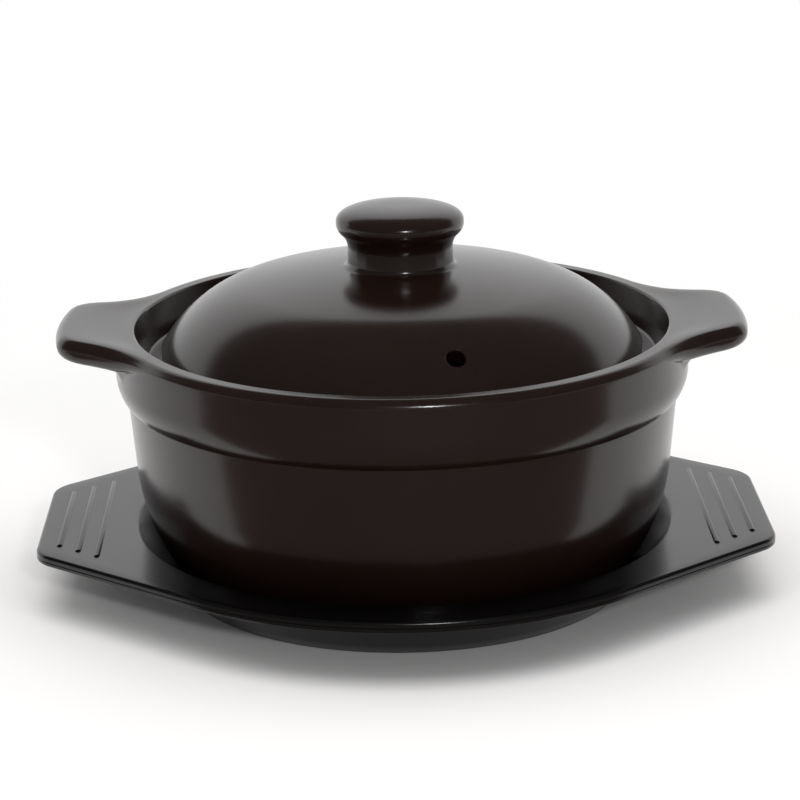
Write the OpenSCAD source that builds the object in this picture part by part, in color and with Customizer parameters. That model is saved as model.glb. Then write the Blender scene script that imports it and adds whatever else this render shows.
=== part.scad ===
// Clay casserole with a domed lid, standing in a moulded serving tray.
// Millimetres. The origin is on the table under the middle of the tray, +X runs along
// the two handles, and the front of the pot faces -Y.

/* [Pot] */
// Inside diameter of the mouth, at the rim
mouth_d = 180; // [150:1:210]
// Height of the pot from its base to its rim
pot_h = 84.5; // [76:0.5:110]
// Thickness of the body wall and of the base
wall = 8; // [6:0.5:10]
// Width of the rim, from the mouth to the outside of the collar
rim_w = 6.8; // [6:0.1:9]
// Radius of the outer edge of the rim
rim_round = 2.9; // [2:0.1:3.5]
// Radius of the inner edge of the rim
rim_edge = 0.8; // [0.4:0.1:1.5]
// Height of the thick collar, from the rim down to the step line
collar_h = 23.4; // [19:0.2:28]
// How far the body lies inside the collar at the step line
collar_step = 3.7; // [2.5:0.1:5]
// Radius of the collar's lower side
collar_round = 14; // [10:0.5:18]
// Depth of the sharp line under the collar
line_depth = 0.4; // [0.3:0.05:0.8]
// Lean of the body's side, narrower towards the base
body_taper = 5; // [2:0.5:8]
// Height above the base where the side begins to curve in
belly_h = 36; // [30:0.5:42]
// Radius of the curve from the side towards the base
belly_r = 64; // [56:1:76]
// Radius of the edge of the base
base_round = 5; // [3:0.5:7]
// Depth of the shallow recess under the base
recess_h = 1.2; // [0.6:0.1:2.5]
// Width of the ring that the base stands on
recess_rim = 11; // [8:0.5:16]

/* [Lid seat] */
// Depth of the ledge below the rim
ledge_depth = 12; // [10:0.5:15]
// Width of the ledge, from the gallery wall to its free edge
ledge_w = 9; // [7:0.25:11]
// How far the gallery wall leans in from the mouth down to the ledge
gallery_in = 3.5; // [2.5:0.25:5]
// Thickness of the ledge at its free edge
ledge_t = 4; // [3:0.25:6]
// Height of the slope that carries the ledge on the wall
ledge_slope = 10; // [7:0.5:13]

/* [Handles] */
// How far each handle stands out beyond the collar
handle_reach = 19.6; // [15:0.2:26]
// Thickness of the handles
handle_t = 7.7; // [6:0.1:9]
// Rise of the handles above the rim, at their ends
handle_rise = 1.9; // [0.8:0.1:4]
// Radius of the outer corners, seen from above
handle_corner = 11; // [8:0.5:13]
// Angle about the pot at which each side of a handle leaves the collar
handle_spread = 30; // [27:0.5:34]
// Radius of the hollow curve between handle and collar, seen from above
handle_hollow = 50; // [40:1:60]
// Radius of the hollow under the handles
handle_fillet = 8; // [5:0.5:9]

/* [Lid] */
// Gap between the lid and the gallery wall, at the ledge
lid_gap = 5.2; // [3:0.1:6]
// Height of the dome above the ledge, without its knob
dome_h = 31.9; // [28:0.1:40]
// Radius of curvature of the middle of the dome
dome_r = 240; // [210:5:320]
// Height of the lid's outer edge above the ledge
lid_edge_h = 4.6; // [3:0.1:8]
// Slope at which the middle of the dome turns into the shoulder
shoulder_angle = 12.5; // [10:0.5:15]
// Thickness of the lid
lid_wall = 5.5; // [4:0.25:7]
// Radius of the lid's outer edge
lid_edge = 1.8; // [1:0.1:2.2]
// Diameter of the steam hole
vent_d = 6.2; // [4:0.1:9]
// Distance of the steam hole from the lid's edge
vent_in = 11; // [9:0.5:16]
// Direction of the steam hole about the lid, from +X
vent_angle = -77; // [-90:1:-45]
// Width of the bevel round the steam hole
vent_bevel = 0.8; // [0.4:0.1:1.2]

/* [Knob] */
// Diameter of the knob's cap
knob_d = 43; // [36:0.5:52]
// Height of the knob above the dome beside it
knob_h = 20.7; // [19:0.1:28]
// Height of the rounded top above the cap's widest line
knob_cap_h = 6.1; // [4.5:0.1:7.5]
// How far the cap stands out beyond the neck
knob_lip = 3.8; // [2.5:0.1:4.5]
// Squareness of the cap's top, 2 for an ellipse
knob_square = 2.8; // [2:0.1:4]
// Radius of the fillet between the neck and the dome
knob_fillet = 2; // [1:0.1:3]

/* [Tray] */
// Height of the tray
tray_h = 22; // [18:0.5:28]
// Height of the well's floor above the table
floor_h = 6; // [5:0.25:8]
// Thickness of the tray's floor
floor_t = 3; // [2:0.25:4]
// Thickness of the well's side
side_t = 3.2; // [2.5:0.1:4]
// Thickness of the flange
flange_t = 3.5; // [2.5:0.1:5]
// Width of the flange in front of the pot and behind it
flange_w = 14.6; // [11:0.2:20]
// Radius of the flange's upper edge
flange_round = 1.1; // [0.5:0.1:1.4]
// Gap between the pot and the well at the top of the tray
well_gap = 6.1; // [4:0.1:9]
// Gap between the base of the pot and the edge of the well's flat floor
floor_gap = 0.8; // [0.5:0.1:2]
// Radius between the well's floor and its side
well_fillet = 8; // [6:0.5:10]
// Radius of the well's upper edge
well_edge = 1.5; // [0.8:0.1:2]
// How far the two grips stand out beyond the round flange
grip_reach = 17.5; // [13:0.5:24]
// Width of each grip at its end, before its corners are rounded
grip_w = 70; // [56:1:84]
// Radius of the grips' corners
grip_corner = 14; // [10:0.5:18]

/* [Ribs] */
// Number of ribs on each grip
rib_count = 3; // [1:1:3]
// Distance between two ribs
rib_pitch = 6.65; // [5:0.05:7]
// Distance of the outermost rib from the end of its grip
rib_inset = 7.6; // [6:0.1:9]
// Distance between the ends of a rib and the sides of its grip
rib_margin = 12.3; // [9:0.1:16]
// Width of a rib
rib_w = 2.1; // [1.6:0.1:3]
// Height of a rib above the grip
rib_h = 0.6; // [0.4:0.05:0.8]

/* [Hidden] */
$fn = 96;

// How far a blended surface starts inside the one that it grows out of
bite = 0.6;
// Number of sections in each half of a handle, and of steps round its edge and its fillet
handle_steps = 20;
edge_steps = 8;
fillet_steps = 5;

// Heights above the table
rim_z = floor_h + pot_h;
step_z = rim_z - collar_h;
ledge_z = rim_z - ledge_depth;

// Radii of the pot
mouth_r = mouth_d / 2;
collar_r = mouth_r + rim_w;
body_r = collar_r - collar_step;
gallery_r = mouth_r - gallery_in;
ledge_r = gallery_r - ledge_w;

// The curve from the pot's side to its base: where it starts, and its centre
belly_z = floor_h + belly_h;
belly_side_r = body_r - (step_z - belly_z) * tan(body_taper);
belly_c = [belly_side_r - belly_r * cos(body_taper), belly_z + belly_r * sin(body_taper)];

// The lid, its shoulder, which runs from the middle of the dome to the lid's edge, and the
// place of its steam hole
lid_r = gallery_r - lid_gap;
dome_top = ledge_z + dome_h;
edge_from_c = [lid_r, ledge_z + lid_edge_h - dome_top + dome_r];
edge_along = edge_from_c * [sin(shoulder_angle), cos(shoulder_angle)];
shoulder_r = (pow(dome_r, 2) + edge_from_c * edge_from_c - 2 * dome_r * edge_along)
    / (2 * (dome_r - edge_along));
shoulder_c = [(dome_r - shoulder_r) * sin(shoulder_angle),
              dome_top - dome_r + (dome_r - shoulder_r) * cos(shoulder_angle)];
vent_r = lid_r - vent_in;
vent_slope = asin((vent_r - shoulder_c[0]) / shoulder_r);

// The knob
knob_r = knob_d / 2;
neck_r = knob_r - knob_lip;
neck_z = dome_z(neck_r);
cap_z = neck_z + knob_h - knob_cap_h;

// The well and the flange round it
base_r = base_corner_c(0)[0];
well_floor_r = base_r + floor_gap;
well_r = body_r_at(tray_h) + well_gap;
well_reach = [well_r - well_floor_r, tray_h - floor_h - well_fillet];
well_slope = atan2(well_reach[1], well_reach[0]) + asin(well_fillet / norm(well_reach));
flange_r = well_r + flange_w;
grip_end = flange_r + grip_reach;
grip_side_a = side_angle([grip_end, grip_w / 2], flange_r);

function unit(v) = v / norm(v);

// Points along an arc about c, from angle a0 to angle a1
function arc(c, r, a0, a1, n = 12) =
    [for (i = [0:n]) let (a = a0 + (a1 - a0) * i / n) c + r * [cos(a), sin(a)]];

// The corner at b of the path a-b-c, rounded to radius r
function corner(a, b, c, r, n = 6) =
    let (u = unit(a - b), v = unit(c - b), half = acos(u * v) / 2,
         o = b + unit(u + v) * r / sin(half),
         p = b + u * r / tan(half) - o, q = b + v * r / tan(half) - o,
         a0 = atan2(p[1], p[0]), turn = atan2(p[0] * q[1] - p[1] * q[0], p * q))
    arc(o, r, a0, a0 + turn, n);

// Radius of the pot's outside at height z, below the step line
function body_r_at(z) = z > belly_z
    ? body_r - (step_z - z) * tan(body_taper)
    : belly_c[0] + sqrt(pow(belly_r, 2) - pow(belly_c[1] - z, 2));

// Centre of the rounded edge of the base, or of a curve lying t inside it with radius r
function base_corner_c(t, r = base_round) =
    let (z = floor_h + t + r)
    [belly_c[0] + sqrt(pow(belly_r - t - r, 2) - pow(belly_c[1] - z, 2)), z];

// The pot's side and base from the step line down, as a curve lying t inside the outer one
function body_curve(t, r, top_z) =
    let (c = base_corner_c(t, r), a = atan2(c[1] - belly_c[1], c[0] - belly_c[0]))
    concat([[body_r - t / cos(body_taper) - (step_z - top_z) * tan(body_taper), top_z]],
           arc(belly_c, belly_r - t, -body_taper, a, 18),
           arc(c, r, a, -90, 8));

// Height of the dome's outside at radius r, within its middle part
function dome_z(r) = dome_top - dome_r + sqrt(pow(dome_r, 2) - pow(r, 2));

// The lid's curved surface, lying t inside the outer one, from radius r0 out to radius r1
function dome_curve(t, r0, r1) =
    let (c = [0, dome_top - dome_r])
    concat(arc(c, dome_r - t, 90 - asin(r0 / (dome_r - t)), 90 - shoulder_angle, 8),
           arc(shoulder_c, shoulder_r - t, 90 - shoulder_angle,
               acos((r1 - shoulder_c[0]) / (shoulder_r - t)), 14));

// Direction, from +X, of the line through the corner p that touches a circle of radius r
function side_angle(p, r) = atan2(p[1], p[0]) + acos(r / norm(p));

// Half the width of the tray's outline on a grip, at distance x from the middle
function grip_y(x) = (flange_r - x * cos(grip_side_a)) / sin(grip_side_a);

// Outline of a handle seen from above, as the distance from the pot's axis at angle a
handle_tip = collar_r + handle_reach;
corner_d = handle_tip - handle_corner;
hollow_d = collar_r + handle_hollow - bite;
corner_a = handle_spread - acos((pow(corner_d, 2) + pow(hollow_d, 2)
    - pow(handle_corner + handle_hollow, 2)) / (2 * corner_d * hollow_d));
corner_end = let (c = corner_d * [cos(corner_a), sin(corner_a)],
                  h = hollow_d * [cos(handle_spread), sin(handle_spread)],
                  p = c + handle_corner * unit(h - c)) atan2(p[1], p[0]);
function handle_out(a) =
    a <= corner_a ? handle_tip :
    a <= corner_end ? corner_d * cos(a - corner_a)
        + sqrt(pow(handle_corner, 2) - pow(corner_d * sin(a - corner_a), 2)) :
    hollow_d * cos(handle_spread - a)
        - sqrt(pow(handle_hollow, 2) - pow(hollow_d * sin(handle_spread - a), 2));

// Top of a handle at radius r: it leaves the flat of the rim and rises towards its end
handle_root = mouth_r + rim_edge + bite;
function handle_top(r) = rim_z - 0.1
    + (handle_rise + 0.1) * (r - handle_root) / (handle_tip - handle_root);

// Upright section through a handle whose edge lies at radius r
function handle_section(r) =
    let (half = handle_t / 2, edge = r - half, top = handle_top(edge), under = top - handle_t,
         f = max(0.01, min(handle_fillet, edge - collar_r + bite)),
         foot = min(collar_r - bite, edge - 0.01))
    concat([[handle_root, rim_z - 0.1]],
           arc([edge, top - half], half, 90, -90, edge_steps),
           arc([foot + f, under - f], f, 90, 180, fillet_steps),
           [[handle_root, under - f]]);

// Solid through upright sections that turn about the axis, at the given angles
module turned_loft(angles, sections) {
    n = len(angles);
    m = len(sections[0]);
    points = [for (i = [0:n - 1]) for (p = sections[i])
        [p[0] * cos(angles[i]), p[0] * sin(angles[i]), p[1]]];
    sides = [for (i = [0:n - 2]) for (j = [0:m - 1])
        let (a = i * m + j, b = i * m + (j + 1) % m) each [[a, a + m, b], [b, a + m, b + m]]];
    ends = [[for (j = [0:m - 1]) j], [for (j = [m - 1:-1:0]) (n - 1) * m + j]];
    polyhedron(points, concat(sides, ends));
}

// One handle, at +X
module handle() {
    angles = [for (i = [-handle_steps:handle_steps]) handle_spread * i / handle_steps];
    turned_loft(angles, [for (a = angles) handle_section(handle_out(abs(a)))]);
}

// The pot: one fired piece with its collar, ledge and two handles
module pot() {
    recess_r = base_r - recess_rim;
    outside = body_curve(0, base_round, step_z);
    inside = body_curve(wall, base_round + wall, ledge_z - ledge_t - ledge_slope);
    collar_c = [collar_r - collar_round, step_z + sqrt(pow(collar_round, 2)
        - pow(collar_round - collar_step + line_depth, 2))];
    profile = concat(
        [[0, floor_h + recess_h], [recess_r, floor_h + recess_h],
         [recess_r + recess_h, floor_h]],
        [for (i = [len(outside) - 1:-1:0]) outside[i]],
        arc(collar_c, collar_round, -asin((collar_c[1] - step_z) / collar_round), 0),
        arc([collar_r - rim_round, rim_z - rim_round], rim_round, 0, 90, 8),
        arc([mouth_r + rim_edge, rim_z - rim_edge], rim_edge, 90, 180, 4),
        corner([mouth_r, rim_z - rim_edge], [gallery_r, ledge_z], [ledge_r, ledge_z], 1.5),
        corner([gallery_r, ledge_z], [ledge_r, ledge_z], [ledge_r, ledge_z - ledge_t], 1),
        [[ledge_r, ledge_z - ledge_t]],
        inside,
        [[0, floor_h + wall]]);
    color("#3b2c27") union() {
        rotate_extrude() polygon(profile);
        handle();
        mirror([1, 0, 0]) handle();
    }
}

// The knob's outline, from the middle of its top down to its neck
function knob_curve() =
    let (turn = 50, radii = knob_lip / (1 - cos(turn)), under = 0.4 * radii, flare = 0.6 * radii,
         flare_z = cap_z - radii * sin(turn))
    concat([for (i = [0:12]) let (t = 90 * (1 - i / 12))
                [knob_r * pow(cos(t), 2 / knob_square),
                 cap_z + knob_cap_h * pow(sin(t), 2 / knob_square)]],
           arc([knob_r - under, cap_z], under, -turn / 6, -turn, 5),
           arc([neck_r + flare, flare_z], flare, 180 - turn * 5 / 6, 180, 5));

// The lid: one fired piece with its knob and its steam hole
module lid() {
    inner_r = lid_r - lid_wall - lid_edge;
    outer = dome_curve(0, neck_r + knob_fillet + 1, lid_r);
    inner = dome_curve(lid_wall, 0, inner_r);
    n = len(outer);
    edge = outer[n - 1];
    profile = concat(
        knob_curve(),
        corner([neck_r, cap_z], [neck_r, neck_z], outer[0], knob_fillet),
        [for (i = [0:n - 2]) outer[i]],
        corner(outer[n - 2], edge, [lid_r, ledge_z], lid_edge * 0.4, 3),
        corner(edge, [lid_r, ledge_z], [0, ledge_z], lid_edge * 0.5, 3),
        [[inner_r, ledge_z]],
        [for (i = [len(inner) - 1:-1:0]) inner[i]]);
    vent = shoulder_c + shoulder_r * [sin(vent_slope), cos(vent_slope)];
    color("#3b2c27") difference() {
        rotate_extrude() polygon(profile);
        rotate([0, 0, vent_angle]) translate([vent[0], 0, vent[1]]) rotate([0, vent_slope, 0]) {
            cylinder(d = vent_d, h = 3 * lid_wall, center = true);
            translate([0, 0, -vent_bevel])
                cylinder(d1 = vent_d, d2 = vent_d + 4 * vent_bevel, h = 2 * vent_bevel);
        }
    }
}

// A round plate with the section of the flange
module flange_disc(r, sides) {
    low = tray_h - flange_t;
    rotate_extrude($fn = sides) polygon(concat(
        [[0, low], [r - 0.4, low], [r, low + 0.4]],
        arc([r - flange_round, tray_h - flange_round], flange_round, 0, 90, 4),
        [[0, tray_h]]));
}

// The flange with its two grips
module flange() {
    corner_x = grip_end - grip_corner;
    corner_y = (flange_r - grip_corner - corner_x * cos(grip_side_a)) / sin(grip_side_a);
    hull() {
        flange_disc(flange_r, 120);
        for (sx = [-1, 1], sy = [-1, 1])
            translate([sx * corner_x, sy * corner_y, 0]) flange_disc(grip_corner, 40);
    }
}

// One rib along Y, half sunk in the grip, with round ends
module rib(half_length) {
    r = (pow(rib_w / 2, 2) + pow(rib_h, 2)) / (2 * rib_h);
    translate([0, 0, tray_h + rib_h - r]) rotate([90, 0, 0]) rotate_extrude($fn = 32)
        polygon(concat(arc([0, half_length - r], r, 90, 0, 6),
                       arc([0, r - half_length], r, 0, -90, 6)));
}

// The tray: one moulded piece with a round well, a flange, two grips and their ribs
module tray() {
    slope = well_slope;
    out = side_t * [sin(slope), -cos(slope)];
    low = [well_r - (tray_h - floor_h) / tan(slope), floor_h];
    high = [well_r, tray_h];
    low_out = low + out;
    foot_r = low_out[0] - low_out[1] / tan(slope);
    under_z = tray_h - flange_t / 2;
    well = concat(
        [[0, floor_h]],
        corner([0, floor_h], low, high, well_fillet),
        corner(low, high, high + [20, 0], well_edge),
        [[well_r + well_edge, tray_h + 1], [0, tray_h + 1]]);
    bowl = concat(
        [[0, floor_h - floor_t], [foot_r - side_t - 0.6, floor_h - floor_t],
         [foot_r - side_t, 0], [foot_r - 0.5, 0], [foot_r + 0.3 / tan(slope), 0.3]],
        [[low_out[0] + (under_z - low_out[1]) / tan(slope), under_z], [0, under_z]]);
    color("#17171a") union() {
        difference() {
            union() {
                flange();
                rotate_extrude() polygon(bowl);
            }
            rotate_extrude() polygon(well);
        }
        for (side = [-1, 1], i = [0:rib_count - 1]) {
            x = grip_end - rib_inset - i * rib_pitch;
            translate([side * x, 0, 0]) rib(grip_y(x) - rib_margin);
        }
    }
}

tray();
pot();
lid();
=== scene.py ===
"""Looks of a clay casserole with its lid and its serving tray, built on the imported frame.

The object's sizes are those of the part's source to within 0.05 mm. They are in millimetres,
and MM turns them into Blender's metres. The origin is on the table under the middle of the
tray, +X runs along the two handles, and the front of the pot faces -Y.
"""
import math

import bmesh
import bpy
from mathutils import Matrix, Vector


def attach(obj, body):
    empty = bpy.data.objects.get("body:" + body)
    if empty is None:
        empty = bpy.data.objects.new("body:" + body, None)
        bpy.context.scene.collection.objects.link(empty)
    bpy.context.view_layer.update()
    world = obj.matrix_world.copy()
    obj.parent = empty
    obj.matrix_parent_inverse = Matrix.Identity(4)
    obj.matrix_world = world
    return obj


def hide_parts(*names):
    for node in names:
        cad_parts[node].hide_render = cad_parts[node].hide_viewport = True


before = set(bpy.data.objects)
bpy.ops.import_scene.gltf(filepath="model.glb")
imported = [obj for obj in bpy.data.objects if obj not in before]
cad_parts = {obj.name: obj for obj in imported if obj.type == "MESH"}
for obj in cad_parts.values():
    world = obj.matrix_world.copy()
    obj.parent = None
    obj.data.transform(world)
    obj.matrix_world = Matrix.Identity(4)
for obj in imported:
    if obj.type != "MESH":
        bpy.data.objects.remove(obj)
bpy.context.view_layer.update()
MM = 0.001
QUARTER = math.pi / 2  # a quarter turn

# The pot: its driving sizes, then its heights above the table and its radii
FLOOR_Z, POT_H, COLLAR_H, LEDGE_DEPTH, BELLY_H = 6.0, 84.5, 23.4, 12.0, 36.0
MOUTH_R, RIM_W, COLLAR_STEP, GALLERY_IN, LEDGE_W = 90.0, 6.8, 3.7, 3.5, 9.0
RIM_ROUND, RIM_EDGE = 2.9, 0.8
COLLAR_ROUND, LINE_DEPTH = 14.0, 0.4
TAPER = math.radians(5)
BELLY_R, BASE_ROUND, WALL = 64.0, 5.0, 8.0
RECESS_H, RECESS_RIM = 1.2, 11.0
LEDGE_T, LEDGE_SLOPE = 4.0, 10.0
GALLERY_ROUND, LEDGE_ROUND = 1.5, 1.0
RIM_Z = FLOOR_Z + POT_H
STEP_Z = RIM_Z - COLLAR_H
LEDGE_Z = RIM_Z - LEDGE_DEPTH
BELLY_Z = FLOOR_Z + BELLY_H
COLLAR_R = MOUTH_R + RIM_W
BODY_R = COLLAR_R - COLLAR_STEP
GALLERY_R = MOUTH_R - GALLERY_IN
LEDGE_R = GALLERY_R - LEDGE_W

# The handles. Within HANDLE_SWELL of the collar the rim's round grows into the handle's. At
# JOIN_Z every section is back on the collar, and its fillet ends JOIN_ROOM or more above that.
HANDLE_REACH, HANDLE_T, HANDLE_RISE = 19.6, 7.7, 1.9
HANDLE_CORNER, HANDLE_HOLLOW, HANDLE_FILLET = 11.0, 50.0, 8.0
HANDLE_SPREAD = math.radians(30)
HANDLE_TIP = COLLAR_R + HANDLE_REACH
HANDLE_SWELL, JOIN_Z, JOIN_ROOM = 6.0, 76.5, 0.2

# The lid. The dome's outer curve starts FILLET_ROOM beyond the knob's fillet, and its inner
# curve INNER_START from the axis.
LID_GAP, LID_WALL, LID_EDGE = 5.2, 5.5, 1.8
EDGE_TOP_R, EDGE_FOOT_R = LID_EDGE * 0.4, LID_EDGE * 0.5
DOME_H, DOME_R, SHOULDER_R = 31.9, 240.0, 45.09
SHOULDER_A = math.radians(12.5)
FILLET_ROOM, INNER_START = 1.0, 0.5
LID_R = GALLERY_R - LID_GAP
LID_INNER_R = LID_R - LID_WALL - LID_EDGE
DOME_TOP = LEDGE_Z + DOME_H
DOME_C = (0.0, DOME_TOP - DOME_R)
SHOULDER_C = ((DOME_R - SHOULDER_R) * math.sin(SHOULDER_A),
              DOME_TOP - DOME_R + (DOME_R - SHOULDER_R) * math.cos(SHOULDER_A))

# The steam hole. Its cutter reaches VENT_IN_REACH below the dome and VENT_OUT_REACH above it.
VENT_D, VENT_IN, VENT_BEVEL = 6.2, 11.0, 0.8
VENT_TURN = math.radians(-77)
VENT_IN_REACH, VENT_OUT_REACH = 9.0, 2.0

# The knob. Under its lip one arc turns in by LIP_TURN and a second one turns back to the neck.
# LIP_SHARE is the first one's share of both radii, and each starts LIP_LATE into its turn.
KNOB_R, KNOB_H, KNOB_CAP_H = 21.5, 20.7, 6.1
KNOB_LIP, KNOB_SQUARE, KNOB_FILLET = 3.8, 2.8, 2.0
LIP_TURN, LIP_SHARE = math.radians(50), 0.4
LIP_LATE = LIP_TURN / 6
NECK_R = KNOB_R - KNOB_LIP
NECK_Z = DOME_TOP - DOME_R + math.sqrt(DOME_R ** 2 - NECK_R ** 2)
CAP_Z = NECK_Z + KNOB_H - KNOB_CAP_H

# The tray. FLOOR_RINGS are the radii of its grid on the well's flat floor. PARTING belongs to
# the fine line round the flange's edge, where the halves of the mould meet.
TRAY_H, FLANGE_T, FLANGE_ROUND, FLANGE_BEVEL = 22.0, 3.5, 1.1, 0.4
FLANGE_R, GRIP_END, GRIP_HALF_W, GRIP_CORNER = 106.5, 124.0, 35.0, 14.0
WELL_R, WELL_FLOOR_R, WELL_FILLET, WELL_EDGE = 91.9, 74.2, 8.0, 1.5
FLOOR_RINGS = (0, 25, 50, 68)
SIDE_T, FLOOR_T = 3.2, 3.0
FOOT_BEVEL_H, FOOT_BEVEL_W, FOOT_LEAN = 0.3, 0.5, 0.6
PARTING_DROP, PARTING_HALF_W, PARTING_DEPTH = 2.15, 0.18, 0.15
# Direction, from +X, that the straight side between a grip and the round flange faces
GRIP_SIDE_A = (math.atan2(GRIP_HALF_W, GRIP_END)
               + math.acos(FLANGE_R / math.hypot(GRIP_HALF_W, GRIP_END)))

# The ribs on the grips
RIBS, RIB_PITCH, RIB_INSET, RIB_MARGIN = 3, 6.65, 7.6, 12.3
RIB_W, RIB_H = 2.1, 0.6

# The meshes: sections about an axis, and the turn above which an edge stays crisp. Vertices
# merge within WELD, and an edge under SLIVER goes, both in metres.
POT_SECTIONS, LID_SECTIONS, VENT_SECTIONS, RIB_SECTIONS = 360, 300, 64, 24
SHARP_TURN = math.radians(35)
WELD, SLIVER = 1e-6, 1e-7

# The camera, fitted to the rim, the step line and the tray of the photograph
CAMERA_TARGET = (-0.95, 0.0, 62.06)
CAMERA_DISTANCE = 961.7
CAMERA_ELEVATION = math.radians(16.66)
CAMERA_ROLL = math.radians(-0.97)
CAMERA_TURN = math.radians(1.0)
CAMERA_F_PX = 2817.6
PHOTO_PX = 800

# The studio, in metres and watts
FLOOR_COLOUR = (0.88, 0.87, 0.865, 1)
TABLE_REACH, STAGE_HALF_W, BACKDROP_Y, BACKDROP_H = 3.0, 4.0, 1.4, 1.5
GLOW_FROM, GLOW_TO = 0.08, 0.5
# A dark card that only glossy rays see: it paints a dark reflection on the pot's lower front and
# the tray's foot
PAINTED_REFLECTION_COLOUR = (0.16, 0.13, 0.12, 1)
CARD_NEAR, CARD_FAR, CARD_HALF_W, CARD_Z = 0.085, 1.3, 0.85, 0.0015
WORLD_SOFT, WORLD_MIRRORED = 0.5, 0.10
PANEL_POWER, LAMP_POWER = 20.0, 5.0
WHITE = (1, 1, 1, 1)

# How far the finishes' gloss drifts, as a share of their roughness
GLOSS_DRIFT = 0.08


def arc(c, r, a0, a1, steps):
    """Points along an arc about c, from angle a0 to angle a1 in radians."""
    return [(c[0] + r * math.cos(a0 + (a1 - a0) * i / steps),
             c[1] + r * math.sin(a0 + (a1 - a0) * i / steps)) for i in range(steps + 1)]


def between(p, q, steps):
    """The points that part the line from p to q into equal steps, without its ends."""
    return [(p[0] + (q[0] - p[0]) * i / steps, p[1] + (q[1] - p[1]) * i / steps)
            for i in range(1, steps)]


def corner(a, b, c, r, steps=6):
    """The corner at b of the path a-b-c, rounded to radius r."""
    a, b, c = Vector(a), Vector(b), Vector(c)
    u, v = (a - b).normalized(), (c - b).normalized()
    half = u.angle(v) / 2
    o = b + (u + v).normalized() * r / math.sin(half)
    p, q = b + u * r / math.tan(half) - o, b + v * r / math.tan(half) - o
    a0 = math.atan2(p.y, p.x)
    turn = math.atan2(p.x * q.y - p.y * q.x, p.dot(q))
    return arc(o, r, a0, a0 + turn, steps)


def smooth(t):
    """A rise from 0 to 1 that starts and ends level, and stays there outside that range."""
    t = min(1.0, max(0.0, t))
    return t * t * (3 - 2 * t)


def even(points, steps):
    """Points that part a path into equal steps, with its ends."""
    d = [0.0]
    for p, q in zip(points, points[1:]):
        d.append(d[-1] + math.dist(p, q))
    out, j = [], 0
    for i in range(steps + 1):
        s = d[-1] * i / steps
        while j < len(d) - 2 and d[j + 1] < s:
            j += 1
        f = (s - d[j]) / max(1e-9, d[j + 1] - d[j])
        out.append(tuple(points[j][k] + (points[j + 1][k] - points[j][k]) * f for k in (0, 1)))
    return out


def ring(bm, points):
    """New vertices at points in millimetres."""
    return [bm.verts.new([value * MM for value in point]) for point in points]


def join_rings(bm, rings):
    """Faces between each ring of vertices and the next, and from the last to the first."""
    for p, q in zip(rings, rings[1:] + rings[:1]):
        for j in range(len(p) - 1):
            bm.faces.new((p[j], p[j + 1], q[j + 1], q[j]))


def weld(bm):
    """Merges vertices that meet, drops slivers and turns all faces outwards."""
    bmesh.ops.remove_doubles(bm, verts=bm.verts, dist=WELD)
    bmesh.ops.dissolve_degenerate(bm, edges=bm.edges, dist=SLIVER)
    bmesh.ops.recalc_face_normals(bm, faces=bm.faces)


def mesh_object(name, bm):
    """A new object with smooth shading. It uses the bmesh up."""
    mesh = bpy.data.meshes.new(name)
    bm.to_mesh(mesh)
    bm.free()
    mesh.shade_smooth()
    piece = bpy.data.objects.new(name, mesh)
    bpy.context.scene.collection.objects.link(piece)
    return piece


def revolved_grid(name, section_at, sections):
    """A closed mesh of sections (radius, height) about the axis, one for each angle."""
    bm = bmesh.new()
    rings = []
    for i in range(sections):
        a = 2 * math.pi * i / sections
        rings.append(ring(bm, [(r * math.cos(a), r * math.sin(a), z) for r, z in section_at(a)]))
    join_rings(bm, rings)
    weld(bm)
    return mesh_object(name, bm)


def belly_centre():
    """Centre of the curve from the pot's side towards its base."""
    side_r = BODY_R - (STEP_Z - BELLY_Z) * math.tan(TAPER)
    return side_r - BELLY_R * math.cos(TAPER), BELLY_Z + BELLY_R * math.sin(TAPER)


def base_corner(t, r):
    """Centre of the rounded edge of the base, or of a curve lying t inside it."""
    c = belly_centre()
    z = FLOOR_Z + t + r
    return c[0] + math.sqrt((BELLY_R - t - r) ** 2 - (c[1] - z) ** 2), z


def body_curve(t, r, top_z, steps):
    """The pot's side and base from height top_z down, as a curve lying t inside the outer one."""
    c, base = belly_centre(), base_corner(t, r)
    a = math.atan2(base[1] - c[1], base[0] - c[0])
    top = (BODY_R - t / math.cos(TAPER) - (STEP_Z - top_z) * math.tan(TAPER), top_z)
    return ([top] + arc(c, BELLY_R - t, -TAPER, a, steps)
            + arc(base, r, a, -QUARTER, steps=10))


def handle_out(a):
    """Distance of a handle's edge from the pot's axis at angle a from +X, seen from above."""
    corner_d, hollow_d = HANDLE_TIP - HANDLE_CORNER, COLLAR_R + HANDLE_HOLLOW
    centres_apart = HANDLE_CORNER + HANDLE_HOLLOW
    cos_turn = ((corner_d ** 2 + hollow_d ** 2 - centres_apart ** 2)
                / (2 * corner_d * hollow_d))
    corner_a = HANDLE_SPREAD - math.acos(cos_turn)
    c = Vector((corner_d * math.cos(corner_a), corner_d * math.sin(corner_a)))
    h = Vector((hollow_d * math.cos(HANDLE_SPREAD), hollow_d * math.sin(HANDLE_SPREAD)))
    p = c + HANDLE_CORNER * (h - c).normalized()
    if a <= corner_a:
        return HANDLE_TIP
    if a <= math.atan2(p.y, p.x):
        return corner_d * math.cos(a - corner_a) + math.sqrt(
            HANDLE_CORNER ** 2 - (corner_d * math.sin(a - corner_a)) ** 2)
    if a < HANDLE_SPREAD:
        return hollow_d * math.cos(HANDLE_SPREAD - a) - math.sqrt(
            HANDLE_HOLLOW ** 2 - (hollow_d * math.sin(HANDLE_SPREAD - a)) ** 2)
    return COLLAR_R


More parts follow.
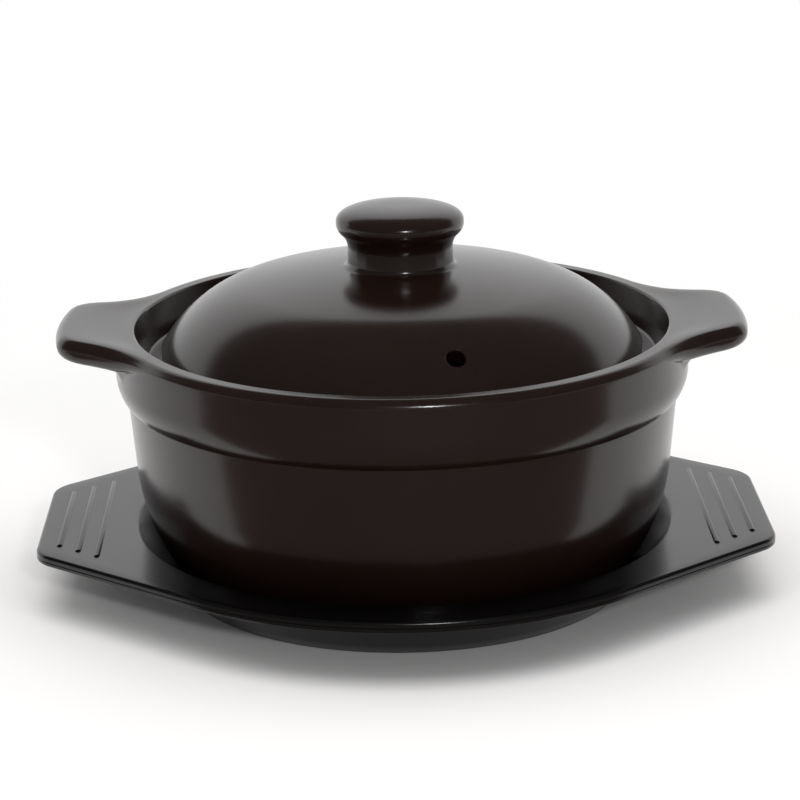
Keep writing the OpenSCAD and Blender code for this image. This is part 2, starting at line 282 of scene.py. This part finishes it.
def outer_section(reach):
    """The outside of rim and collar where the edge lies at radius reach, from the mouth down."""
    share = smooth((reach - COLLAR_R) / HANDLE_SWELL)
    half = RIM_ROUND + (HANDLE_T / 2 - RIM_ROUND) * share
    rise = HANDLE_RISE * (reach - COLLAR_R) / HANDLE_REACH
    edge, top, flat = reach - half, RIM_Z + rise, MOUTH_R + RIM_EDGE
    path = arc((flat, RIM_Z - RIM_EDGE), RIM_EDGE, math.pi, QUARTER, steps=8)
    top_steps = 12
    path += [(flat + (edge - flat) * i / top_steps, RIM_Z + rise * smooth(i / top_steps))
             for i in range(1, top_steps)]
    # Near the collar the round ends on the collar's face, and further out it turns right under
    if edge < COLLAR_R:
        low = -math.acos(min(1.0, (COLLAR_R - edge) / half))
        path += arc((edge, top - half), half, QUARTER, low, steps=24)
    else:
        path += arc((edge, top - half), half, QUARTER, -QUARTER, steps=24)
        under = top - 2 * half
        fillet = min(HANDLE_FILLET, edge - COLLAR_R, under - JOIN_Z - JOIN_ROOM)
        path += arc((COLLAR_R + fillet, under - fillet), fillet, QUARTER, math.pi, steps=12)
    return path + [(COLLAR_R, JOIN_Z)]


def pot_section(a):
    """The pot's outline at angle a, from the middle of its base, over the rim and down inside."""
    from_x = abs(math.atan2(math.sin(a), math.cos(a)))
    reach = handle_out(min(from_x, math.pi - from_x))
    recess_r = base_corner(0, BASE_ROUND)[0] - RECESS_RIM
    recess_z = FLOOR_Z + RECESS_H
    under = [(0, recess_z), (recess_r / 2, recess_z), (recess_r, recess_z),
             (recess_r + RECESS_H, FLOOR_Z)]
    outside = body_curve(0, BASE_ROUND, STEP_Z, steps=28)[::-1]
    line_r = COLLAR_ROUND - COLLAR_STEP + LINE_DEPTH
    collar_z = STEP_Z + math.sqrt(COLLAR_ROUND ** 2 - line_r ** 2)
    collar = arc((COLLAR_R - COLLAR_ROUND, collar_z), COLLAR_ROUND,
                 -math.asin((collar_z - STEP_Z) / COLLAR_ROUND), 0, steps=10)
    rim = even(outer_section(reach)[::-1], steps=90)
    mouth, ledge_back = (MOUTH_R, RIM_Z - RIM_EDGE), (GALLERY_R, LEDGE_Z)
    ledge_edge, ledge_low = (LEDGE_R, LEDGE_Z), (LEDGE_R, LEDGE_Z - LEDGE_T)
    seat = (corner(mouth, ledge_back, ledge_edge, GALLERY_ROUND)
            + corner(ledge_back, ledge_edge, ledge_low, LEDGE_ROUND) + [ledge_low])
    slope_z = LEDGE_Z - LEDGE_T - LEDGE_SLOPE
    inside = body_curve(WALL, BASE_ROUND + WALL, slope_z, steps=18)
    return under + outside + collar + rim + seat + inside + [(0, FLOOR_Z + WALL)]


def make_pot():
    """The pot with its collar, ledge and two handles."""
    return revolved_grid("glazed_pot", pot_section, POT_SECTIONS)


def knob_curve():
    """The knob's outline, from the middle of its top down to its neck."""
    cap_steps, power = 24, 2 / KNOB_SQUARE
    cap = [(0, CAP_Z + KNOB_CAP_H)]
    for i in range(1, cap_steps + 1):
        t = QUARTER * (1 - i / cap_steps)
        cap.append((KNOB_R * math.cos(t) ** power, CAP_Z + KNOB_CAP_H * math.sin(t) ** power))
    radii = KNOB_LIP / (1 - math.cos(LIP_TURN))
    under, flare = LIP_SHARE * radii, (1 - LIP_SHARE) * radii
    flare_z = CAP_Z - radii * math.sin(LIP_TURN)
    return (cap + arc((KNOB_R - under, CAP_Z), under, -LIP_LATE, -LIP_TURN, steps=8)
            + arc((NECK_R + flare, flare_z), flare, math.pi - LIP_TURN + LIP_LATE, math.pi,
                  steps=8))


def dome_curve(t, r0, r1, steps):
    """The lid's curved surface, lying t inside the outer one, from radius r0 out to radius r1."""
    start, end = QUARTER - math.asin(r0 / (DOME_R - t)), QUARTER - SHOULDER_A
    low = math.acos((r1 - SHOULDER_C[0]) / (SHOULDER_R - t))
    return (arc(DOME_C, DOME_R - t, start, end, steps)
            + arc(SHOULDER_C, SHOULDER_R - t, end, low, 2 * steps)[1:])


def lid_outline():
    """The lid from the middle of the knob's top, down the dome, round its edge and back inside."""
    outer = dome_curve(0, NECK_R + KNOB_FILLET + FILLET_ROOM, LID_R, steps=16)
    inner = dome_curve(LID_WALL, INNER_START, LID_INNER_R, steps=10)[::-1]
    edge, foot = outer[-1], (LID_R, LEDGE_Z)
    return (knob_curve()
            + corner((NECK_R, CAP_Z), (NECK_R, NECK_Z), outer[0], KNOB_FILLET)
            + outer[:-1]
            + corner(outer[-2], edge, foot, EDGE_TOP_R, steps=4)
            + corner(edge, foot, (0, LEDGE_Z), EDGE_FOOT_R, steps=4)
            + [(LID_INNER_R, LEDGE_Z)] + inner + [(0, inner[-1][1])])


def vent_cutter():
    """The steam hole and its bevel, as a solid turned about the hole's axis."""
    slope = math.asin((LID_R - VENT_IN - SHOULDER_C[0]) / SHOULDER_R)
    r = VENT_D / 2
    path = ([(0, -VENT_IN_REACH), (r, -VENT_IN_REACH)]
            + arc((r + VENT_BEVEL, -VENT_BEVEL), VENT_BEVEL, math.pi, QUARTER, steps=6)
            + [(r + 2 * VENT_BEVEL, VENT_OUT_REACH), (0, VENT_OUT_REACH)])
    cutter = revolved_grid("vent_cutter", lambda a: path, VENT_SECTIONS)
    mouth = Vector((SHOULDER_C[0] + SHOULDER_R * math.sin(slope), 0,
                    SHOULDER_C[1] + SHOULDER_R * math.cos(slope))) * MM
    cutter.data.transform(Matrix.Rotation(VENT_TURN, 4, "Z") @ Matrix.Translation(mouth)
                          @ Matrix.Rotation(slope, 4, "Y"))
    return cutter


def make_lid():
    """The lid with its knob, and the steam hole cut through it."""
    outline = lid_outline()
    lid = revolved_grid("glazed_lid", lambda a: outline, LID_SECTIONS)
    cutter = vent_cutter()
    cut = lid.modifiers.new("vent", "BOOLEAN")
    cut.operation, cut.solver, cut.object = "DIFFERENCE", "EXACT", cutter
    depsgraph = bpy.context.evaluated_depsgraph_get()
    holed = bpy.data.meshes.new_from_object(lid.evaluated_get(depsgraph))
    lid.modifiers.clear()
    lid.data = holed
    bpy.data.objects.remove(cutter)
    return lid


def faced_arc(c, r, a0, a1, steps):
    """Points along an arc, each with the direction that it faces."""
    return list(zip(arc(c, r, a0, a1, steps), arc((0, 0), 1, a0, a1, steps)))


def tray_quarter():
    """A quarter of the flange's outline from above, as points with their outward directions."""
    face = (math.cos(GRIP_SIDE_A), math.sin(GRIP_SIDE_A))
    cx = GRIP_END - GRIP_CORNER
    cy = (FLANGE_R - GRIP_CORNER - cx * face[0]) / face[1]
    start = (cx + GRIP_CORNER * face[0], cy + GRIP_CORNER * face[1])
    end = (FLANGE_R * face[0], FLANGE_R * face[1])
    grip = [(GRIP_END, 0)] + between((GRIP_END, 0), (GRIP_END, cy), steps=10)
    return ([(p, (1, 0)) for p in grip]
            + faced_arc((cx, cy), GRIP_CORNER, 0, GRIP_SIDE_A, steps=12)
            + [(p, face) for p in between(start, end, steps=24)]
            + faced_arc((0, 0), FLANGE_R, GRIP_SIDE_A, QUARTER, steps=32))


def tray_outline():
    """The whole outline, from the quarter mirrored to the left and then to the front."""
    quarter = tray_quarter()
    half = quarter + [((-p[0], p[1]), (-n[0], n[1])) for p, n in quarter[-2::-1]]
    return half + [((p[0], -p[1]), (n[0], -n[1])) for p, n in half[-2:0:-1]]


def well_sections():
    """The well's inside from the middle out to the flange, and its outside from there down."""
    reach, rise = WELL_R - WELL_FLOOR_R, TRAY_H - FLOOR_Z - WELL_FILLET
    slope = math.atan2(rise, reach) + math.asin(WELL_FILLET / math.hypot(reach, rise))
    low = (WELL_R - (TRAY_H - FLOOR_Z) / math.tan(slope), FLOOR_Z)
    high = (WELL_R, TRAY_H)
    inside = ([(r, FLOOR_Z) for r in FLOOR_RINGS]
              + corner((0, FLOOR_Z), low, high, WELL_FILLET, steps=8)
              + corner(low, high, (FLANGE_R, TRAY_H), WELL_EDGE))
    out = (low[0] + SIDE_T * math.sin(slope), FLOOR_Z - SIDE_T * math.cos(slope))
    under_z, recess_z = TRAY_H - FLANGE_T, FLOOR_Z - FLOOR_T
    foot_r = out[0] - out[1] / math.tan(slope)
    outside = [(out[0] + (under_z - out[1]) / math.tan(slope), under_z), out,
               (foot_r + FOOT_BEVEL_H / math.tan(slope), FOOT_BEVEL_H),
               (foot_r - FOOT_BEVEL_W, 0), (foot_r - SIDE_T, 0),
               (foot_r - SIDE_T - FOOT_LEAN, recess_z), (0, recess_z)]
    return inside, outside


def flange_edge():
    """The flange's edge with its parting line, as distances outwards and heights, going down."""
    line_z = TRAY_H - PARTING_DROP
    return (arc((-FLANGE_ROUND, TRAY_H - FLANGE_ROUND), FLANGE_ROUND, QUARTER, 0, steps=6)
            + [(0, line_z + PARTING_HALF_W), (-PARTING_DEPTH, line_z),
               (0, line_z - PARTING_HALF_W),
               (0, TRAY_H - FLANGE_T + FLANGE_BEVEL), (-FLANGE_BEVEL, TRAY_H - FLANGE_T)])


def make_tray():
    """The tray as a grid: one section for each point of the flange's outline."""
    inside, outside = well_sections()
    edge = flange_edge()
    bm = bmesh.new()
    rings = []
    for p, n in tray_outline():
        d = math.hypot(*p)
        u = (p[0] / d, p[1] / d)
        well_edge = (inside[-1][0] * u[0], inside[-1][0] * u[1])
        flat_end = (p[0] - n[0] * FLANGE_ROUND, p[1] - n[1] * FLANGE_ROUND)
        rings.append(ring(bm, [(r * u[0], r * u[1], z) for r, z in inside]
                          + [(x, y, TRAY_H) for x, y in between(well_edge, flat_end, steps=5)]
                          + [(p[0] + n[0] * out, p[1] + n[1] * out, z) for out, z in edge]
                          + [(r * u[0], r * u[1], z) for r, z in outside]))
    join_rings(bm, rings)
    weld(bm)
    return mesh_object("moulded_tray", bm)


def add_rib(bm, x, half_length):
    """One rib along Y with round ends, half sunk in its grip."""
    r = ((RIB_W / 2) ** 2 + RIB_H ** 2) / (2 * RIB_H)
    path = (arc((half_length - r, 0), r, 0, QUARTER, steps=6)
            + arc((r - half_length, 0), r, QUARTER, math.pi, steps=6))
    rings = []
    for k in range(RIB_SECTIONS):
        t = 2 * math.pi * k / RIB_SECTIONS
        rings.append(ring(bm, [(x + d * math.cos(t), y, TRAY_H + RIB_H - r + d * math.sin(t))
                               for y, d in path]))
    join_rings(bm, rings)


def make_ribs():
    """The ribs of both grips, each as long as its grip is wide there, less its margins."""
    bm = bmesh.new()
    for side in (-1, 1):
        for i in range(RIBS):
            x = GRIP_END - RIB_INSET - i * RIB_PITCH
            grip_y = (FLANGE_R - x * math.cos(GRIP_SIDE_A)) / math.sin(GRIP_SIDE_A)
            add_rib(bm, side * x, grip_y - RIB_MARGIN)
    weld(bm)
    return mesh_object("grip_ribs", bm)


def sharpen(piece):
    """Marks the edges that turn by more than SHARP_TURN, so that smooth shading keeps them."""
    bm = bmesh.new()
    bm.from_mesh(piece.data)
    for edge in bm.edges:
        if len(edge.link_faces) == 2 and edge.calc_face_angle(0) > SHARP_TURN:
            edge.smooth = False
    bm.to_mesh(piece.data)
    bm.free()


def set_inputs(node, values):
    for name, value in values.items():
        node.inputs[name].default_value = value


def material(name, colour, roughness, ior, coat, mottle, grain, grain_scale):
    """A moulded or glazed surface: its colour and gloss drift a little, over a fine bump."""
    made = bpy.data.materials.new(name)
    made.use_nodes = True
    nodes, links = made.node_tree.nodes, made.node_tree.links
    shader = nodes["Principled BSDF"]
    set_inputs(shader, {"Coat Weight": coat, "Coat Roughness": 0.12, "IOR": ior})
    place = nodes.new("ShaderNodeTexCoord")
    drift = nodes.new("ShaderNodeTexNoise")
    set_inputs(drift, {"Scale": 22.0, "Detail": 3.0, "Roughness": 0.55})
    links.new(place.outputs["Object"], drift.inputs["Vector"])
    tint = nodes.new("ShaderNodeValToRGB")
    dark, light = tint.color_ramp.elements
    dark.position, dark.color = 0.35, (*[c * (1 - mottle) for c in colour], 1)
    light.position, light.color = 0.7, (*[c * (1 + mottle) for c in colour], 1)
    links.new(drift.outputs["Fac"], tint.inputs["Fac"])
    links.new(tint.outputs["Color"], shader.inputs["Base Color"])
    gloss = nodes.new("ShaderNodeMapRange")
    set_inputs(gloss, {"From Min": 0.3, "From Max": 0.7, "To Min": roughness * (1 - GLOSS_DRIFT),
                       "To Max": roughness * (1 + GLOSS_DRIFT)})
    links.new(drift.outputs["Fac"], gloss.inputs["Value"])
    links.new(gloss.outputs["Result"], shader.inputs["Roughness"])
    fine = nodes.new("ShaderNodeTexNoise")
    set_inputs(fine, {"Scale": grain_scale, "Detail": 4.0, "Roughness": 0.6})
    links.new(place.outputs["Object"], fine.inputs["Vector"])
    bump = nodes.new("ShaderNodeBump")
    set_inputs(bump, {"Strength": grain, "Distance": 0.0002})
    links.new(fine.outputs["Fac"], bump.inputs["Height"])
    links.new(bump.outputs["Normal"], shader.inputs["Normal"])
    return made


def dress(piece, finish):
    piece.data.materials.clear()
    piece.data.materials.append(finish)


def make_camera():
    """The photograph's camera: its distance, height, roll and focal length."""
    e, turn, roll = CAMERA_ELEVATION, CAMERA_TURN, CAMERA_ROLL
    forward = Vector((math.sin(turn) * math.cos(e), math.cos(turn) * math.cos(e), -math.sin(e)))
    right = Vector((math.cos(turn), -math.sin(turn), 0))
    up = right.cross(forward)
    right, up = (math.cos(roll) * right + math.sin(roll) * up,
                 -math.sin(roll) * right + math.cos(roll) * up)
    data = bpy.data.cameras.new("camera")
    data.sensor_width = 36
    data.lens = data.sensor_width * CAMERA_F_PX / PHOTO_PX
    data.clip_start, data.clip_end = 0.05, 20
    camera = bpy.data.objects.new("camera", data)
    bpy.context.scene.collection.objects.link(camera)
    place = (Vector(CAMERA_TARGET) - CAMERA_DISTANCE * forward) * MM
    turned = Matrix((right, up, -forward)).transposed().to_4x4()
    camera.matrix_world = Matrix.Translation(place) @ turned
    bpy.context.scene.camera = camera


def flat_strip(name, path, half_width, finish):
    """A wide sheet of the stage that follows a path of points (y, z), in metres."""
    bm = bmesh.new()
    rows = [[bm.verts.new((x, y, z)) for x in (-half_width, half_width)] for y, z in path]
    for p, q in zip(rows, rows[1:]):
        bm.faces.new((p[0], p[1], q[1], q[0]))
    strip = mesh_object(name, bm)
    dress(strip, finish)
    return strip


def pale_stage():
    """A pale matt surface that turns plain white behind the pot, for camera and glossy rays."""
    made = bpy.data.materials.new("pale_stage")
    made.use_nodes = True
    nodes, links = made.node_tree.nodes, made.node_tree.links
    shader = nodes["Principled BSDF"]
    set_inputs(shader, {"Base Color": FLOOR_COLOUR, "Roughness": 0.8, "Specular IOR Level": 0.1})
    place = nodes.new("ShaderNodeTexCoord")
    split = nodes.new("ShaderNodeSeparateXYZ")
    links.new(place.outputs["Object"], split.inputs["Vector"])
    far = nodes.new("ShaderNodeMapRange")
    far.interpolation_type = "SMOOTHSTEP"
    set_inputs(far, {"From Min": GLOW_FROM, "From Max": GLOW_TO})
    links.new(split.outputs["Y"], far.inputs["Value"])
    path = nodes.new("ShaderNodeLightPath")
    either = nodes.new("ShaderNodeMath")
    either.operation = "MAXIMUM"
    links.new(path.outputs["Is Camera Ray"], either.inputs[0])
    links.new(path.outputs["Is Glossy Ray"], either.inputs[1])
    share = nodes.new("ShaderNodeMath")
    share.operation = "MULTIPLY"
    links.new(far.outputs["Result"], share.inputs[0])
    links.new(either.outputs["Value"], share.inputs[1])
    white = nodes.new("ShaderNodeEmission")
    set_inputs(white, {"Color": WHITE, "Strength": 1.0})
    mix = nodes.new("ShaderNodeMixShader")
    links.new(share.outputs["Value"], mix.inputs["Fac"])
    links.new(shader.outputs["BSDF"], mix.inputs[1])
    links.new(white.outputs["Emission"], mix.inputs[2])
    links.new(mix.outputs["Shader"], nodes["Material Output"].inputs["Surface"])
    return made


def dark_reflection_card():
    """A dark card just above the table, in front of the pot. Only reflections see it: it paints a
    dark reflection on the pot's lower front and the tray's foot.
    """
    made = bpy.data.materials.new("dark_reflection_card")
    made.use_nodes = True
    set_inputs(made.node_tree.nodes["Principled BSDF"],
               {"Base Color": PAINTED_REFLECTION_COLOUR, "Roughness": 0.9})
    card = flat_strip("dark_reflection_card", [(-CARD_FAR, CARD_Z), (-CARD_NEAR, CARD_Z)], CARD_HALF_W, made)
    card.visible_camera = False
    card.visible_diffuse = False
    card.visible_shadow = False


def make_stage():
    """A pale table, a white backdrop behind the pot, and a dark card in front of it that paints a
    dark reflection.
    """
    finish = pale_stage()
    flat_strip("floor", [(-TABLE_REACH, 0.0), (BACKDROP_Y, 0.0)], STAGE_HALF_W, finish)
    flat_strip("backdrop", [(BACKDROP_Y, 0.0), (BACKDROP_Y, BACKDROP_H)], STAGE_HALF_W, finish)
    dark_reflection_card()


def area_light(name, size, power, place, aim):
    data = bpy.data.lights.new(name, "AREA")
    data.shape = "RECTANGLE"
    data.size, data.size_y = size
    data.energy = power
    lamp = bpy.data.objects.new(name, data)
    bpy.context.scene.collection.objects.link(lamp)
    lamp.location = place
    lamp.rotation_euler = (Vector(aim) - Vector(place)).to_track_quat("-Z", "Y").to_euler()
    return lamp


def make_light():
    """A surround, white to the camera and dim in reflections, an unmirrored panel and a lamp."""
    world = bpy.data.worlds.new("studio")
    bpy.context.scene.world = world
    world.use_nodes = True
    nodes, links = world.node_tree.nodes, world.node_tree.links
    back = nodes["Background"]
    path = nodes.new("ShaderNodeLightPath")
    level = nodes.new("ShaderNodeMapRange")
    set_inputs(level, {"To Min": WORLD_SOFT, "To Max": WORLD_MIRRORED})
    links.new(path.outputs["Is Glossy Ray"], level.inputs["Value"])
    seen = nodes.new("ShaderNodeMix")
    set_inputs(seen, {"B": 1.0})
    links.new(path.outputs["Is Camera Ray"], seen.inputs["Factor"])
    links.new(level.outputs["Result"], seen.inputs["A"])
    links.new(seen.outputs["Result"], back.inputs["Strength"])
    set_inputs(back, {"Color": WHITE})
    panel = area_light("top_panel", size=(2.0, 1.6), power=PANEL_POWER,
                       place=(0.0, -0.1, 1.5), aim=(0, 0, 0))
    panel.visible_glossy = False
    area_light("front_lamp", size=(0.10, 0.10), power=LAMP_POWER,
               place=(0.22, -1.35, 0.62), aim=(0, 0, 0.06))


make_camera()
make_stage()
make_light()

glaze = material("dark_brown_glaze", colour=(0.0095, 0.0045, 0.0033), roughness=0.2, ior=1.5,
                 coat=0.1, mottle=0.12, grain=0.12, grain_scale=900.0)
plastic = material("near_black_plastic", colour=(0.0008, 0.0008, 0.0009), roughness=0.2, ior=1.45,
                   coat=0.1, mottle=0.08, grain=0.18, grain_scale=1400.0)

for body, piece, finish, slot in (("pot", make_pot(), glaze, "pot_glaze"),
                                  ("lid", make_lid(), glaze, "lid_glaze"),
                                  ("tray", make_tray(), plastic, "tray_plastic")):
    dress(piece, finish)
    sharpen(piece)
    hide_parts(body)
    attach(piece, body)

ribs = make_ribs()
dress(ribs, plastic)
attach(ribs, "tray")

bpy.context.scene.view_settings.view_transform = "Standard"
